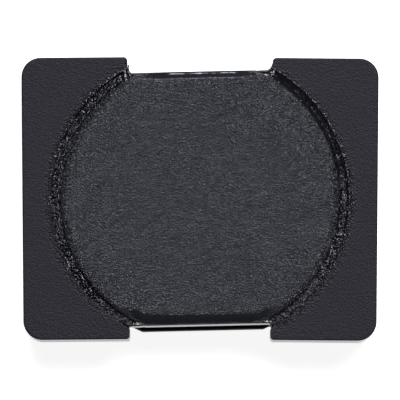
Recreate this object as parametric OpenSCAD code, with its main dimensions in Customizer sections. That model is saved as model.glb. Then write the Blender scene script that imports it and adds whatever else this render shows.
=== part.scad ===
// Shielded surface-mount power inductor.
// A wound ferrite drum core sits between two C-shaped ferrite shield halves. All three are
// bonded to a moulded base, and the coil's two ends are soldered to its wrap-round terminals.
// Origin: middle of the underside. +X runs through both terminals, +Y across, +Z off the board.

/* [Overall] */
// Length over the two shield halves
body_l = 18.5; // [17.8:0.1:22]
// Width across the shield halves
body_w = 14.7; // [14.2:0.1:17]
// Height from the board to the top of the drum core
body_h = 7.1; // [6.6:0.1:9]

/* [Shield halves] */
// Width of the window left open between the halves, front and back
window_w = 7.44; // [6:0.02:9]
// Depth of the shield halves' top below the drum core's top
shield_drop = 0.45; // [0.2:0.05:0.8]
// Radius of the four outer vertical corners
shield_corner_r = 1.0; // [0.4:0.1:2]
// Radius of the vertical corners beside the windows
shield_tip_r = 0.2; // [0.18:0.02:0.4]
// Rounding of the top edges
shield_edge_r = 0.08; // [0.05:0.01:0.17]
// Angle by which each half splays open towards the back, as bonded
shield_splay = 0.5; // [0:0.1:0.8]

/* [Drum core] */
// Depth of the upper flange's rim inside the shield halves' width
rim_inset = 0.05; // [0:0.01:0.2]
// Reach of the lower flange's rim past the upper one
lower_reach = 0.1; // [0:0.02:0.16]
// Depth of the two flats on the upper flange
upper_flat_cut = 0.65; // [0.4:0.05:0.9]
// Depth of the two flats on the lower flange
lower_flat_cut = 0.64; // [0.4:0.01:0.9]
// Thickness of the upper flange
upper_flange_t = 1.4; // [1.1:0.1:1.8]
// Thickness of the lower flange
lower_flange_t = 1.25; // [1:0.05:1.5]
// Diameter of the post that carries the coil
post_d = 6.8; // [5.5:0.1:7.4]
// Width of the upper flange's pressed shoulder
shoulder_w = 0.5; // [0.3:0.05:0.8]
// Draft angle of the upper flange's rim
rim_draft = 3.3; // [1:0.1:5]
// Angle by which the drum core is turned, as bonded
drum_turn = 1.3; // [0:0.1:1.8]

/* [Coil] */
// Diameter of the enamelled wire
wire_d = 0.43; // [0.38:0.01:0.5]
// Least depth of the coil inside the flanges' rims
coil_inset = 1.2; // [1.1:0.1:1.6]
// Centre-line radius of the bends in the lead-outs
bend_r = 0.6; // [0.5:0.05:0.7]

/* [Base and terminals] */
// Thickness of the base plate
base_t = 1.1; // [0.9:0.1:1.4]
// Inset of the base plate from the shield halves' outline
base_inset = 0.1; // [0.08:0.01:0.2]
// Thickness of the terminal strip
terminal_t = 0.2; // [0.15:0.05:0.3]
// Width of each terminal
terminal_w = 12.2; // [10:0.1:12.4]
// Distance between the two solder pads under the base
pad_gap = 12.5; // [12:0.1:13.4]
// Reach of each wire end past the drum core's rim
wire_reach = 0.4; // [0.2:0.05:0.8]
// Length of the hook that grips the base's upper face
hook_l = 1.5; // [1:0.1:2]

/* [Adhesive] */
// Width of the ring gap between the drum core and the shield halves
ring_gap = 0.45; // [0.3:0.05:0.6]
// Thickness of the bond lines on the base
bond_t = 0.05; // [0.03:0.01:0.1]
// Depth of the epoxy bead's rim below the shield halves' top
bead_drop = 0.12; // [0.05:0.01:0.3]
// Height of the epoxy bead
bead_h = 0.6; // [0.3:0.1:0.8]
// Size of the epoxy fillet in each window corner
fillet_s = 0.45; // [0.3:0.05:0.45]

/* [Hidden] */
$fn = 96;

corner_fn = 48;          // facets of a full turn of the rounded outline
shoulder_in = 12;        // slope of the pressed shoulder at its inner edge
shoulder_out = 58;       // slope of the pressed shoulder at the rim
arc_steps = 8;           // flats along the pressed shoulder and the terminals' folds
edge_steps = 4;          // flats along the shield's top rounding
flange_edge = 0.1;       // chamfer of the drum core's sharp edges
wire_clear = 0.1;        // room round the wire in the drum core's slots
lead_clear = 0.3;        // room round the wire in the base's slots
seat_clear = 0.04;       // room round a terminal in its recess
pack_clear = 0.02;       // room between the coil's ends and the flanges
bond_inset = 0.15;       // the adhesive stops this far short of the edge it bonds
under_clear = 0.06;      // solder below the wire's end
solder_z = 0.02;         // underside of the solder, just above the pad's own
over = 1;                // reach of a cutter past the solid it cuts
slice = 0.001;           // thickness of the slices that a rounded block is hulled from
jog_a = 45;              // slope of the start lead as it drops into its channel

// Heights
base_top = terminal_t + base_t;
core_z = base_top + bond_t;
shield_top = body_h - shield_drop;
coil_z0 = core_z + lower_flange_t;
coil_z1 = body_h - upper_flange_t;
coil_h = coil_z1 - coil_z0;
bead_top = shield_top - bead_drop;

// Radii
drum_r = body_w / 2 - rim_inset;
upper_flat = drum_r - upper_flat_cut;
lower_r = drum_r + lower_reach;
lower_flat = lower_r - lower_flat_cut;
bore_r = drum_r + ring_gap;
post_r = post_d / 2;
wire_r = wire_d / 2;

// The coil: layers nest in each other's hollows, as many as the flanges leave room for
turns = floor(coil_h / wire_d);
pitch = coil_h / turns;
inner_turn_r = post_r + wire_r;
layer_pitch = wire_d * sin(60);
outer_layers = floor((drum_r - coil_inset - wire_r - inner_turn_r) / layer_pitch);
outer_turn_r = inner_turn_r + outer_layers * layer_pitch;
turn_z = coil_z0 + pitch / 2;

// The lead-outs drop through the base at (lead_x, lead_y), and at its opposite point
lead_x = outer_turn_r + pack_clear;
lead_y = inner_turn_r;
lead_z = under_clear + wire_r;
channel_z = coil_z0 - wire_r - pack_clear;
jog_r = (turn_z - channel_z) / (2 * (1 - cos(jog_a)));

// The base and its terminals
base_end = body_l / 2 - base_inset;
pad_in = pad_gap / 2;
lead_end = drum_r + wire_reach;
slot_end = lead_end + lead_clear;
slot_half = wire_r + lead_clear;
window_y = min(upper_flat, lower_flat) - bond_inset;

// The pressed shoulder is an arc, and the drafted rim ends where it starts
shoulder_arc_r = shoulder_w / (sin(shoulder_out) - sin(shoulder_in));
rim_top = body_h - shoulder_arc_r * (cos(shoulder_in) - cos(shoulder_out));
rim_lean = (rim_top - coil_z1 - flange_edge) * tan(rim_draft);

// Each half turns about the bore's axis, which lies drum_y behind the middle to keep it centred
drum_y = (window_w + body_l) / 4 * sin(shield_splay);

// Points of a circular arc in its plane
function arc(centre, r, a0, a1, steps) =
    [for (i = [0:steps]) let (a = a0 + (a1 - a0) * i / steps) centre + r * [cos(a), sin(a)]];

// Outline of a flange's edge, as [distance from the axis, height], going up
function lower_edge(r) = [
    [r - flange_edge, core_z], [r, core_z + flange_edge],
    [r, coil_z0 - flange_edge], [r - flange_edge, coil_z0]
];
function upper_edge(r) =
    let (arc_x = r - rim_lean - shoulder_arc_r * sin(shoulder_out))
    let (arc_z = rim_top - shoulder_arc_r * cos(shoulder_out))
    concat(
        [[r - flange_edge, coil_z1], [r, coil_z1 + flange_edge]],
        arc([arc_x, arc_z], shoulder_arc_r, 90 - shoulder_out, 90 - shoulder_in, arc_steps)
    );
function to_axis(edge) = concat([[0, edge[0].y]], edge, [[0, edge[len(edge) - 1].y]]);
function both_sides(edge) =
    concat(edge, [for (i = [len(edge) - 1:-1:0]) [-edge[i].x, edge[i].y]]);

// A round flange with two flats: its edge revolved, and cut by the same edge drawn straight
module flange(round_edge, flat_edge) {
    intersection() {
        rotate_extrude()
            polygon(to_axis(round_edge));
        rotate([90, 0, 90])
            linear_extrude(2 * (lower_r + over), center = true)
                polygon(both_sides(flat_edge));
    }
}

module upper_flange() {
    flange(upper_edge(drum_r), upper_edge(upper_flat));
}

// Puts what is drawn round the drum core's axis in its place, turned by angle a
module seated(a) {
    translate([0, drum_y, 0])
        rotate([0, 0, a])
            children();
}

// Box given by its low and high corner
module box(low, high) {
    translate(low)
        cube(high - low);
}

// A length of wire from point p, in the direction that turn gives from +Z
module wire_run(p, turn, l) {
    translate(p)
        rotate(turn)
            cylinder(r = wire_r, h = l);
}

// A wire bend about centre, in the plane that turn gives, from angle a0 over angle a
module wire_bend(centre, turn, r, a0, a) {
    translate(centre)
        rotate(turn)
            rotate([0, 0, a0])
                rotate_extrude(angle = a)
                    translate([r, 0])
                        circle(r = wire_r);
}

// Vertical drop from height z_from at (lead_x, y), then out along +X to the pad
module lead_drop(y, z_from) {
    foot_z = lead_z + bend_r;
    foot_x = lead_x + bend_r;
    wire_run([lead_x, y, foot_z], [0, 0, 0], z_from - foot_z);
    wire_bend([foot_x, y, foot_z], [90, 0, 0], bend_r, 180, 90);
    wire_run([foot_x, y, lead_z], [0, 90, 0], lead_end - foot_x);
}

// Leaves the innermost turn, dips into the lower flange's channel and runs out under the coil
module start_lead() {
    jog_x = 2 * jog_r * sin(jog_a);
    drop_x = lead_x - bend_r;
    wire_bend([0, lead_y, turn_z - jog_r], [90, 0, 0], jog_r, 90 - jog_a, jog_a);
    wire_bend([jog_x, lead_y, channel_z + jog_r], [90, 0, 0], jog_r, 270 - jog_a, jog_a);
    wire_run([jog_x, lead_y, channel_z], [0, 90, 0], drop_x - jog_x);
    wire_bend([drop_x, lead_y, channel_z - bend_r], [90, 0, 0], bend_r, 0, 90);
    lead_drop(lead_y, channel_z - bend_r);
}

// Leaves the outermost turn at a tangent and drops through the rim of the lower flange.
// It is drawn on the start lead's side, with x and y reversed.
module finish_lead() {
    drop_y = lead_y - bend_r;
    run_z = turn_z + pack_clear;
    wire_run([lead_x, 0, run_z], [-90, 0, 0], drop_y);
    wire_bend([lead_x, drop_y, run_z - bend_r], [90, 0, 90], bend_r, 0, 90);
    lead_drop(lead_y, run_z - bend_r);
}

module wound_turns() {
    rotate_extrude() {
        translate([post_r, coil_z0 + pack_clear])
            square([outer_turn_r - post_r, coil_h - 2 * pack_clear]);
        for (i = [0:turns - 1])
            translate([outer_turn_r, turn_z + i * pitch])
                circle(r = wire_r);
    }
}

// Drum core: two flanges on a post, with a slot in the lower rim for each lead-out and a
// channel that takes the start of the wire out under the coil
module drum_core() {
    slot_in = lead_x - wire_r - wire_clear;
    slot_out = lower_r + over;
    side = wire_r + wire_clear;
    color([0.16, 0.16, 0.18])
        seated(drum_turn)
            difference() {
                union() {
                    flange(lower_edge(lower_r), lower_edge(lower_flat));
                    translate([0, 0, coil_z0 - flange_edge])
                        cylinder(r = post_r, h = coil_h + 2 * flange_edge);
                    upper_flange();
                }
                for (a = [0, 180])
                    rotate([0, 0, a])
                        box([slot_in, lead_y - bend_r, core_z - over],
                            [slot_out, lead_y + side, coil_z0 + flange_edge]);
                box([lead_x - bend_r, lead_y - side, core_z - over],
                    [slot_out, lead_y + side, coil_z0 + flange_edge]);
                box([0, lead_y - side, channel_z - side],
                    [slot_out, lead_y + side, coil_z0 + flange_edge]);
            }
}

// Enamelled copper wire: the wound turns and both lead-outs
module winding() {
    color([0.62, 0.3, 0.14])
        seated(drum_turn) {
            wound_turns();
            start_lead();
            rotate([0, 0, 180])
                finish_lead();
        }
}

// Outline of the right shield half without its bore, drawn in by inset
module half_outline(inset) {
    hull() {
        for (s = [-1, 1]) {
            translate([body_l / 2 - shield_corner_r, s * (body_w / 2 - shield_corner_r)])
                circle(r = shield_corner_r - inset, $fn = corner_fn);
            translate([window_w / 2 + shield_tip_r, s * (body_w / 2 - shield_tip_r)])
                circle(r = shield_tip_r - inset, $fn = corner_fn / 2);
        }
    }
}

module shield_half() {
    h = shield_top - core_z;
    color([0.2, 0.2, 0.22])
        seated(-shield_splay)
            difference() {
                translate([0, 0, core_z])
                    hull() {
                        linear_extrude(h - shield_edge_r)
                            half_outline(0);
                        for (i = [1:edge_steps])
                            let (a = 90 * i / edge_steps)
                                translate([0, 0, h - slice + shield_edge_r * (sin(a) - 1)])
                                    linear_extrude(slice)
                                        half_outline(shield_edge_r * (1 - cos(a)));
                    }
                translate([0, 0, core_z - over])
                    cylinder(r = bore_r, h = h + 2 * over);
                translate([0, 0, shield_top - shield_edge_r])
                    cylinder(r1 = bore_r, r2 = bore_r + 2 * shield_edge_r, h = 2 * shield_edge_r);
            }
}

module shield_right() {
    shield_half();
}

module shield_left() {
    mirror([1, 0, 0])
        shield_half();
}

// Base plate with its front and back cut back under the drum core
module base_outline() {
    r = shield_corner_r - base_inset;
    difference() {
        hull() {
            for (sx = [-1, 1], sy = [-1, 1])
                translate([sx * (base_end - r), sy * (body_w / 2 - base_inset - r)])
                    circle(r = r, $fn = corner_fn);
        }
        for (s = [-1, 1])
            translate([0, s * (window_y + body_w / 2)])
                square([window_w, body_w], center = true);
    }
}

module base() {
    seat_w = terminal_w / 2 + seat_clear;
    color([0.11, 0.11, 0.12])
        difference() {
            translate([0, 0, terminal_t])
                linear_extrude(base_t)
                    base_outline();
            for (a = [0, 180])
                rotate([0, 0, a]) {
                    box([base_end - terminal_t, -seat_w, 0],
                        [base_end + over, seat_w, base_top + over]);
                    box([base_end - hook_l - seat_clear, -seat_w, base_top - terminal_t],
                        [base_end + over, seat_w, base_top + over]);
                    box([lead_x - slot_half, lead_y - slot_half, 0],
                        [lead_x + bend_r, lead_y + slot_half, base_top + over]);
                    box([lead_x, lead_y - slot_half, 0],
                        [slot_end, lead_y + slot_half, lead_z + wire_r + wire_clear]);
                }
        }
}

// Tinned strip folded round the end of the base: pad, end wall and hook
module terminal() {
    inner_x = base_end - terminal_t;
    color([0.78, 0.78, 0.76])
        difference() {
            rotate([90, 0, 0])
                linear_extrude(terminal_w, center = true)
                    difference() {
                        polygon(concat(
                            [[pad_in, 0]],
                            arc([inner_x, terminal_t], terminal_t, 270, 360, arc_steps),
                            arc([inner_x, base_top - terminal_t], terminal_t, 0, 90, arc_steps),
                            [[base_end - hook_l, base_top], [base_end - hook_l, terminal_t],
                             [pad_in, terminal_t]]
                        ));
                        translate([pad_in - over, terminal_t])
                            square([inner_x - pad_in + over, base_t - terminal_t]);
                    }
            box([pad_in - over, lead_y - slot_half, -over],
                [slot_end, lead_y + slot_half, terminal_t + over / 4]);
        }
}

module terminal_right() {
    terminal();
}

module terminal_left() {
    rotate([0, 0, 180])
        terminal();
}

// Solder that fills a pad's slot round the end of the wire
module solder(sx) {
    color([0.7, 0.7, 0.7])
        difference() {
            rotate([0, 0, sx > 0 ? 0 : 180])
                box([pad_in, lead_y - slot_half, solder_z],
                    [slot_end, lead_y + slot_half, terminal_t]);
            winding();
        }
}

module solder_right() {
    solder(1);
}

module solder_left() {
    solder(-1);
}

// Thin disc of adhesive under the drum core, inside both lead-outs
module drum_bond() {
    color([0.08, 0.08, 0.09])
        seated(0)
            translate([0, 0, base_top])
                cylinder(r = lead_x - bend_r - slot_half, h = bond_t);
}

// Thin adhesive under a shield half, on the base and the terminal's hook
module shield_bond() {
    color([0.08, 0.08, 0.09])
        seated(-shield_splay)
            translate([0, 0, base_top])
                linear_extrude(bond_t)
                    difference() {
                        half_outline(bond_inset);
                        circle(r = bore_r + bond_inset);
                    }
}

module shield_bond_right() {
    shield_bond();
}

module shield_bond_left() {
    mirror([1, 0, 0])
        shield_bond();
}

// Outline of the right epoxy bead: the ring gap, and a hollow fillet in each window corner
module bead_outline() {
    blunt = fillet_s / 10;
    intersection() {
        circle(r = bore_r);
        translate([window_w / 2, -body_w / 2])
            square(body_w);
    }
    for (s = [0, 1])
        mirror([0, s])
            difference() {
                translate([window_w / 2 - fillet_s, upper_flat - fillet_s])
                    square([fillet_s, 2 * fillet_s - blunt]);
                translate([window_w / 2 - fillet_s - blunt, upper_flat + fillet_s])
                    circle(r = fillet_s);
            }
}

// Black epoxy that runs round the drum core's rim, with a hollow upper face
module epoxy(sx) {
    hollow_r = 0.75 * ring_gap;
    color([0.07, 0.07, 0.08])
        difference() {
            mirror([sx > 0 ? 0 : 1, 0, 0])
                seated(-shield_splay)
                    translate([0, 0, bead_top - bead_h])
                        linear_extrude(bead_h)
                            bead_outline();
            seated(drum_turn)
                upper_flange();
            seated(0)
                rotate_extrude()
                    translate([drum_r + ring_gap / 2, bead_top + 0.6 * hollow_r])
                        circle(r = hollow_r);
        }
}

module epoxy_right() {
    epoxy(1);
}

module epoxy_left() {
    epoxy(-1);
}

base();
terminal_left();
terminal_right();
drum_core();
winding();
shield_left();
shield_right();
solder_left();
solder_right();
drum_bond();
shield_bond_left();
shield_bond_right();
epoxy_left();
epoxy_right();
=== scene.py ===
"""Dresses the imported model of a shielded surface-mount inductor.

The drum core, the shield halves, the epoxy ring and the coil are drawn again as fine surfaces
with their grain and lumps; the base, the terminals and the solder keep their own meshes.
Lengths are in millimetres, in the settings and the named values, and every mesh is in metres.
Angles round the ring are in degrees, anticlockwise from the right as seen from above. Noise
comes from an integer hash, so each run gives the same part.
"""

import math

import bmesh
import bpy
import numpy as np
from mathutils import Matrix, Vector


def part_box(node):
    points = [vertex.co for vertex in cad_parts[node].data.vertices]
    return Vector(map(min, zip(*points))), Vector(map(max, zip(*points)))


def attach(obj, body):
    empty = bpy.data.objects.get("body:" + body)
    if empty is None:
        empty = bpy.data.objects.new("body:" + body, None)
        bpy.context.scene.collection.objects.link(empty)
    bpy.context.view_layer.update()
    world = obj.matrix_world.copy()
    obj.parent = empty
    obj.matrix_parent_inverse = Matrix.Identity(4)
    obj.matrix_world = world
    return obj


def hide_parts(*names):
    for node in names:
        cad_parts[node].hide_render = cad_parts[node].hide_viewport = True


bl_info = {
    "name": "Shielded inductor",
    "version": (1, 0, 0),
    "blender": (4, 5, 0),
    "location": "View3D > Sidebar > Inductor",
    "description": "Fine surfaces and finishes for a shielded surface-mount inductor",
    "category": "Object",
}

MM = 0.001
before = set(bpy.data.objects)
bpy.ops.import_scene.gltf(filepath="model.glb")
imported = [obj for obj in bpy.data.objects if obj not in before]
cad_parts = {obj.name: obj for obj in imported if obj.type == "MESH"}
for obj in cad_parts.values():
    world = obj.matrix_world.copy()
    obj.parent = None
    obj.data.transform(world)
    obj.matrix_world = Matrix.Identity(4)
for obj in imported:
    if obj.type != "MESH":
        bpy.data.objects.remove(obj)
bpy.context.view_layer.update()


def node_box(name):
    """Lowest and highest corner of a CAD node, in millimetres."""
    return [np.array(corner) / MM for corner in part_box(name)]


DRUM_LOW, DRUM_HIGH = node_box("drum_core")
HALF_LOW, HALF_HIGH = node_box("shield_right")
BEAD_FOOT = node_box("epoxy_right")[0][2]
WIRE_LOW, WIRE_HIGH = node_box("winding")
AXIS_Y = (DRUM_LOW[1] + DRUM_HIGH[1]) / 2
# How much further back the left half is glued than the right one, in mm
LEFT_SET_BACK = 0.04
# How much wider the lower flange is drawn than the CAD's, as a radius in mm
LEDGE_WIDER = 0.1


# Settings


class DrumSettings(bpy.types.PropertyGroup):
    """Sizes and colour of the drum core"""

    radius: bpy.props.FloatProperty(
        name="Upper radius", description="Radius of the upper flange, in mm",
        default=7.3, min=5)
    lower_radius: bpy.props.FloatProperty(
        name="Lower radius", description="Radius of the lower flange, in mm",
        default=(DRUM_HIGH[0] - DRUM_LOW[0]) / 2 + LEDGE_WIDER, min=5)
    upper_flat: bpy.props.FloatProperty(
        name="Upper flat", description="Distance from the axis to an upper flat, in mm",
        default=6.65, min=4)
    lower_flat: bpy.props.FloatProperty(
        name="Lower flat", description="Distance from the axis to a lower flat, in mm",
        default=6.80, min=4)
    shoulder: bpy.props.FloatProperty(
        name="Shoulder width", description="Width of the pressed shoulder, in mm",
        default=0.6, min=0.1)
    shoulder_in: bpy.props.FloatProperty(
        name="Shoulder start", description="Slope at the shoulder's inner edge",
        subtype="ANGLE", default=math.radians(12))
    shoulder_out: bpy.props.FloatProperty(
        name="Shoulder end", description="Slope at the shoulder's outer edge",
        subtype="ANGLE", default=math.radians(53))
    draft: bpy.props.FloatProperty(
        name="Rim draft", description="Draft of the upper rim", subtype="ANGLE",
        default=math.radians(3.3))
    upper_t: bpy.props.FloatProperty(
        name="Upper flange", description="Thickness of the upper flange, in mm", default=1.4)
    lower_t: bpy.props.FloatProperty(
        name="Lower flange", description="Thickness of the lower flange, in mm", default=1.25)
    post: bpy.props.FloatProperty(
        name="Post radius", description="Radius of the post, in mm", default=3.4)
    turn: bpy.props.FloatProperty(
        name="Turn", description="Turn of the drum core on the base", subtype="ANGLE",
        default=math.radians(1.3))
    color: bpy.props.FloatVectorProperty(
        name="Ferrite", description="Colour of the sealed drum core", subtype="COLOR",
        default=(0.013, 0.0135, 0.0165), min=0, max=1)


class ShieldSettings(bpy.types.PropertyGroup):
    """Sizes and colour of the shield halves"""

    bore: bpy.props.FloatProperty(
        name="Bore radius", description="Radius of the halves' bore, in mm", default=7.75)
    window: bpy.props.FloatProperty(
        name="Window", description="Half the width of the window, in mm", default=3.72)
    corner: bpy.props.FloatProperty(
        name="Corner radius", description="Radius of the outer corners, in mm", default=1.0)
    tip: bpy.props.FloatProperty(
        name="Tip radius", description="Radius of the corners at the window, in mm", default=0.2)
    edge: bpy.props.FloatProperty(
        name="Edge", description="Rounding of the top edges, in mm", default=0.09)
    splay: bpy.props.FloatProperty(
        name="Splay", description="Turn of each half about the bore", subtype="ANGLE",
        default=math.radians(0.5))
    length: bpy.props.FloatProperty(
        name="Length", description="Length over both halves before the splay, in mm",
        default=18.5)
    width: bpy.props.FloatProperty(
        name="Width", description="Width of the halves, in mm", default=14.7)
    color: bpy.props.FloatVectorProperty(
        name="Ferrite", description="Colour of the sealed shield halves", subtype="COLOR",
        default=(0.011, 0.0105, 0.0135), min=0, max=1)


class EpoxySettings(bpy.types.PropertyGroup):
    """Reach and colour of the epoxy ring"""

    inner: bpy.props.FloatProperty(
        name="Inner reach", description="Where the epoxy ends on the drum core, in mm",
        default=6.9)
    outer: bpy.props.FloatProperty(
        name="Outer reach", description="Where the epoxy ends on the halves, in mm",
        default=8.15)
    color: bpy.props.FloatVectorProperty(
        name="Epoxy", description="Colour of the black epoxy", subtype="COLOR",
        default=(0.005, 0.005, 0.006), min=0, max=1)


class CoilSettings(bpy.types.PropertyGroup):
    """Sizes and colour of the coil's wire"""

    wire: bpy.props.FloatProperty(
        name="Wire radius", description="Radius of the enamelled wire, in mm", default=0.215)
    turns: bpy.props.IntProperty(
        name="Turns", description="Turns in the outer layer", default=7, min=1)
    radius: bpy.props.FloatProperty(
        name="Coil radius", description="Radius to the middle of the outer turns, in mm",
        default=5.849)
    bend: bpy.props.FloatProperty(
        name="Bend", description="Radius of the bends in the lead-outs, in mm", default=0.6)
    color: bpy.props.FloatVectorProperty(
        name="Enamel", description="Colour of the copper under its enamel", subtype="COLOR",
        default=(0.50, 0.15, 0.045), min=0, max=1)


class StageSettings(bpy.types.PropertyGroup):
    """Camera and sky"""

    tilt: bpy.props.FloatProperty(
        name="Camera tilt", description="Lean of the view towards the front", subtype="ANGLE",
        default=math.radians(2.0))
    distance: bpy.props.FloatProperty(
        name="Camera distance", description="From the lens to the part", unit="LENGTH",
        default=0.6)
    view_width: bpy.props.FloatProperty(
        name="View width", description="Width of the picture at the part's top, in mm",
        default=20.82)
    overhead: bpy.props.FloatProperty(
        name="Overhead light", description="Strength of the sky straight above", default=0.75)
    horizon: bpy.props.FloatProperty(
        name="Horizon light", description="Strength of the sky near the horizon", default=0.08)


# Noise


# Brings the gradient noise up to about -1 to 1
SWELL_GAIN = 1.6


def hashed(ix, iy, iz, seed):
    """Spreads whole-number lattice points over 0 to 1: each is multiplied by a large prime and
    mixed by shifts, so the same point and seed always give the same value."""
    h = (ix * 73856093) ^ (iy * 19349663) ^ (iz * 83492791) ^ (seed * 2654435761)
    h = (h ^ (h >> 15)) * 2246822519 & 0xFFFFFFFF
    h = (h ^ (h >> 13)) * 3266489917 & 0xFFFFFFFF
    return ((h ^ (h >> 16)) & 0xFFFFFF) / 0xFFFFFF


def swell(points, size, seed):
    """Gradient noise from about -1 to 1: at each lattice corner a random slope, and the eight
    corners round a point are blended by a quintic fade. Size is the lattice's spacing in mm."""
    p = points / size
    cell = np.floor(p).astype(np.int64)
    f = p - cell
    w = f * f * f * (f * (f * 6 - 15) + 10)
    total = np.zeros(len(p))
    for corner in np.ndindex(2, 2, 2):
        at = cell + corner
        slopes = [2 * hashed(at[:, 0], at[:, 1], at[:, 2], seed + k) - 1 for k in range(3)]
        lean = sum(slopes[k] * (f[:, k] - corner[k]) for k in range(3))
        share = np.prod([w[:, k] if corner[k] else 1 - w[:, k] for k in range(3)], axis=0)
        total += lean * share
    return SWELL_GAIN * total


def step(x, a, b):
    """Smooth rise from 0 at a to 1 at b."""
    t = np.clip((x - a) / (b - a), 0, 1)
    return t * t * (3 - 2 * t)


def around(angle, keys):
    """Value at an angle, from (degrees, value) keys joined by smooth steps round the circle."""
    at = np.degrees(angle) % 360
    deg = np.array([k[0] for k in keys] + [keys[0][0] + 360], float)
    val = np.array([k[1] for k in keys] + [keys[0][1]], float)
    at = np.where(at < deg[0], at + 360, at)
    i = np.clip(np.searchsorted(deg, at, side="right") - 1, 0, len(keys) - 1)
    t = (at - deg[i]) / (deg[i + 1] - deg[i])
    return val[i] + (val[i + 1] - val[i]) * t * t * (3 - 2 * t)


# Meshes


def make_mesh(name, points, faces, material, sharp=35):
    """Puts points (mm) and faces into a new object; edges sharper than the angle stay crisp."""
    mesh = bpy.data.meshes.new(name)
    mesh.from_pydata((points * MM).tolist(), [], faces)
    mesh.materials.append(material)
    mesh.polygons.foreach_set("use_smooth", np.ones(len(mesh.polygons), bool))
    mesh.set_sharp_from_angle(angle=math.radians(sharp))
    mesh.update()
    piece = bpy.data.objects.new(name, mesh)
    bpy.context.scene.collection.objects.link(piece)
    return piece


def grid_faces(rows, cols, start=0, wrap_cols=False, wrap_rows=False):
    """Quads of a grid stored row by row from index start."""
    r = np.arange(rows if wrap_rows else rows - 1)[:, None]
    c = np.arange(cols if wrap_cols else cols - 1)[None, :]
    r2, c2 = (r + 1) % rows, (c + 1) % cols
    quads = np.stack([r * cols + c, r * cols + c2, r2 * cols + c2, r2 * cols + c], axis=-1)
    return (quads.reshape(-1, 4) + start).tolist()


def end_caps(rows, cols, start=0):
    """Faces that close both ends of a grid whose columns wrap round."""
    first = np.arange(cols)[::-1] + start
    last = (rows - 1) * cols + np.arange(cols) + start
    return [first.tolist(), last.tolist()]


def concentric_disc(n):
    """Even n by n grid mapped to the unit disc: the larger coordinate becomes the radius, and
    the smaller over the larger the angle, so that squares become circles, ring by ring. Gives
    radius and angle of each point, and the indices of the rim, anticlockwise."""
    side = np.linspace(-1, 1, n)
    b, a = [m.ravel() for m in np.meshgrid(side, side, indexing="ij")]
    wide = np.abs(a) > np.abs(b)
    big = np.where(wide, a, b)
    small = np.where(wide, b, a)
    lean = np.divide(small, big, out=np.zeros_like(big), where=big != 0) * math.pi / 4
    angle = np.where(wide, lean, math.pi / 2 - lean)
    radius = np.abs(big)
    angle = np.where(big < 0, angle + math.pi, angle)
    index = np.arange(n * n).reshape(n, n)
    rim = np.concatenate([index[0, :-1], index[:-1, -1], index[-1, :0:-1], index[:0:-1, 0]])
    return radius, angle, rim


def mark(piece, name, values):
    """Stores one value from 0 to 1 at each point, for the piece's material to read."""
    layer = piece.data.attributes.new(name, "FLOAT", "POINT")
    layer.data.foreach_set("value", np.clip(values, 0, 1).astype(np.float32))


def mesh_points(piece):
    """The piece's points, in mm."""
    flat = np.empty(3 * len(piece.data.vertices), np.float32)
    piece.data.vertices.foreach_get("co", flat)
    return flat.reshape(-1, 3) / MM


def turned(points, angle, y):
    """Turns points about Z and moves them along Y."""
    c, s = math.cos(angle), math.sin(angle)
    out = points.copy()
    out[:, 0] = c * points[:, 0] - s * points[:, 1]
    out[:, 1] = s * points[:, 0] + c * points[:, 1] + y
    return out


def finish(piece, slot, *nodes):
    """Rides the piece on the body and stands it for its CAD nodes. The slot is not used."""
    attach(piece, "root")
    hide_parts(*nodes)


# Drum core


# Points down the shoulder's arc
ARC_STEPS = 12
# Chamfer of the flanges' edges below the shoulder, in mm
FLANGE_CHAMFER = 0.06
# How far the grain is sunk, and how far it may rise on the shoulder, in mm
GRAIN_SINK = 0.01
GRAIN_RISE = 0.02
# The bead along the rim: insets from the edge in mm, and its share of the full height there
BEAD_INSET = (0, 0.087, 0.19)
BEAD_SHARE = (1, 0.65, 0)
# Radius at which the bead's unevenness is read, in mm
BEAD_RADIUS = 7
# Where a lead-out drops through the lower flange: out from the axis and across it, in mm
LEAD_OUT = 5.87
LEAD_ACROSS = 3.6
# The notch for it in the lower flange: half its angle, and the radius of its floor in mm
NOTCH_HALF = 0.055
NOTCH_FLOOR = 5.6


def flatted(radius, flat, angle):
    """Radius at an angle of a circle with two flats, front and back: the smaller of the
    circle's radius and the flat's distance over the sine of the angle."""
    return np.minimum(radius, flat / np.maximum(np.abs(np.sin(angle)), 1e-6))


def shoulder_arc(s, steps):
    """Arc of the shoulder from its inner edge out, as (inset from the outer edge, drop) pairs
    in mm: part of a circle whose slope goes from shoulder_in to shoulder_out."""
    a = np.linspace(s.shoulder_in, s.shoulder_out, steps)
    bend = s.shoulder / (math.sin(s.shoulder_out) - math.sin(s.shoulder_in))
    return np.column_stack([bend * (math.sin(s.shoulder_out) - np.sin(a)),
                            bend * (math.cos(s.shoulder_in) - np.cos(a))])


def rim_height(s):
    """Height of the edge between the shoulder and the rim's wall, at the shoulder's full depth."""
    return DRUM_HIGH[2] - shoulder_arc(s, 2)[-1, 1]


def shoulder_share(angle):
    """Width of the shoulder round the rim, as a share of its width at the front flat."""
    return around(angle, [(0, 0.15), (20, 0.1), (50, 0.1), (61, 0.3), (68, 0.75), (112, 0.75),
                          (122, 0.4), (150, 0.25), (205, 0.2), (230, 0.3), (241, 1.1),
                          (250, 1.15), (258, 1.0), (285, 1.0), (298, 1.05), (305, 0.4),
                          (315, 0.2)])


def shoulder_grain(angle):
    """How much of the grain the shoulder keeps round the rim: next to none at the flats."""
    return around(angle, [(0, 1), (60, 1), (70, 0.1), (110, 0.1), (120, 1), (236, 1), (242, 0),
                          (298, 0), (306, 1)])


def shoulder_fall(angle):
    """Depth of the shoulder round the rim, as a share of its depth at the front flat: a tenth,
    and nine tenths of its share in width."""
    return 0.1 + 0.9 * shoulder_share(angle)


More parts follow.
